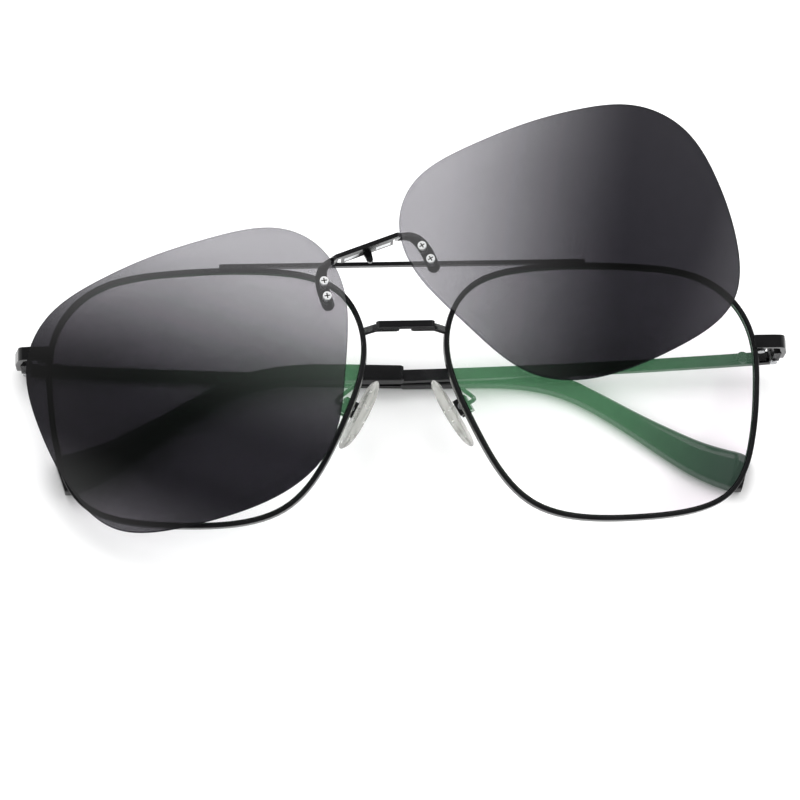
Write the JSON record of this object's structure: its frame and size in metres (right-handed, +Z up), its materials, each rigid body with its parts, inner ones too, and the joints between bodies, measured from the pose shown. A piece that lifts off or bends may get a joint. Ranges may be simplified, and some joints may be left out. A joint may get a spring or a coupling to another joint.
{
  "type": "clip-on eyeglasses",
  "caption": "Wire-rimmed eyeglasses with a brow bar, nose pads, folding temples and a magnetic sun clip, folded and lying face up with the clip askew.",
  "frame": {"origin": "on the table below the middle of the folded glasses, at the bottom centre of the whole box", "axes": "+Z up from the table, +X along the front from the left lens to the right lens as the viewer of the front sees them, +Y towards the brow"},
  "size_m": [0.1478, 0.0822, 0.028],
  "materials": {
    "gloss_black": "gloss black lacquer on metal",
    "black_resin": "polished black sleeve",
    "bare_steel": "bare turned steel",
    "magnet": "nickel-plated magnet",
    "demo_lens": "clear lens with a green-tinted coating",
    "sun_lens": "neutral grey tinted lens",
    "silicone": "clear soft silicone",
    "pad_core": "clear hard plastic"
  },
  "bodies": {
    "front": {"left_rim": "gloss_black", "right_rim": "gloss_black", "left_demo_lens": "demo_lens", "right_demo_lens": "demo_lens", "brow_bar": "gloss_black", "bridge": "gloss_black", "bridge_magnets": "magnet", "left_end_piece": "gloss_black", "right_end_piece": "gloss_black", "left_closing_block": "gloss_black", "right_closing_block": "gloss_black", "left_rim_screw": "bare_steel", "right_rim_screw": "bare_steel", "left_front_hinge": "bare_steel", "right_front_hinge": "bare_steel", "left_hinge_screw": "bare_steel", "right_hinge_screw": "bare_steel", "left_pad_arm": "gloss_black", "right_pad_arm": "gloss_black", "left_pad_screw": "bare_steel", "right_pad_screw": "bare_steel"},
    "left_temple": {"left_temple": "gloss_black", "left_temple_hinge": "bare_steel", "left_temple_tip": "black_resin"},
    "right_temple": {"right_temple": "gloss_black", "right_temple_hinge": "bare_steel", "right_temple_tip": "black_resin"},
    "left_pad": {"left_nose_pad": "silicone", "left_pad_insert": "pad_core"},
    "right_pad": {"right_nose_pad": "silicone", "right_pad_insert": "pad_core"},
    "clip": {"clip_bridge": "gloss_black", "clip_magnets": "magnet", "left_clip_arm": "gloss_black", "right_clip_arm": "gloss_black", "left_clip_lens": "sun_lens", "right_clip_lens": "sun_lens", "left_clip_screws": "bare_steel", "right_clip_screws": "bare_steel", "left_clip_nuts": "bare_steel", "right_clip_nuts": "bare_steel"}
  },
  "joints": [
    {"name": "left_temple_fold", "type": "hinge", "parent": "front", "child": "left_temple", "pos_m": [-0.0718, -0.00386, 0.0023], "axis": [0.061, 0.9981, 0], "range_deg": [0, 88.2]},
    {"name": "right_temple_fold", "type": "hinge", "parent": "front", "child": "right_temple", "pos_m": [0.07173, -0.00386, 0.0068], "axis": [-0.061, 0.9981, -0.0038], "range_deg": [-90.2, 0]},
    {"name": "left_pad_rock", "type": "hinge", "parent": "front", "child": "left_pad", "pos_m": [-0.01102, -0.01686, 0.01127], "axis": [0.2141, -0.2764, 0.9369], "range_deg": [-8, 8]},
    {"name": "right_pad_rock", "type": "hinge", "parent": "front", "child": "right_pad", "pos_m": [0.0105, -0.01686, 0.01194], "axis": [-0.2724, -0.2764, 0.9216], "range_deg": [-8, 8]},
    {"name": "clip_turn", "type": "hinge", "parent": "front", "child": "clip", "pos_m": [-0.04421, -0.01575, 0.01657], "axis": [-0.031, -0.1545, 0.9875], "range_deg": [-19.63, 0]}
  ]
}
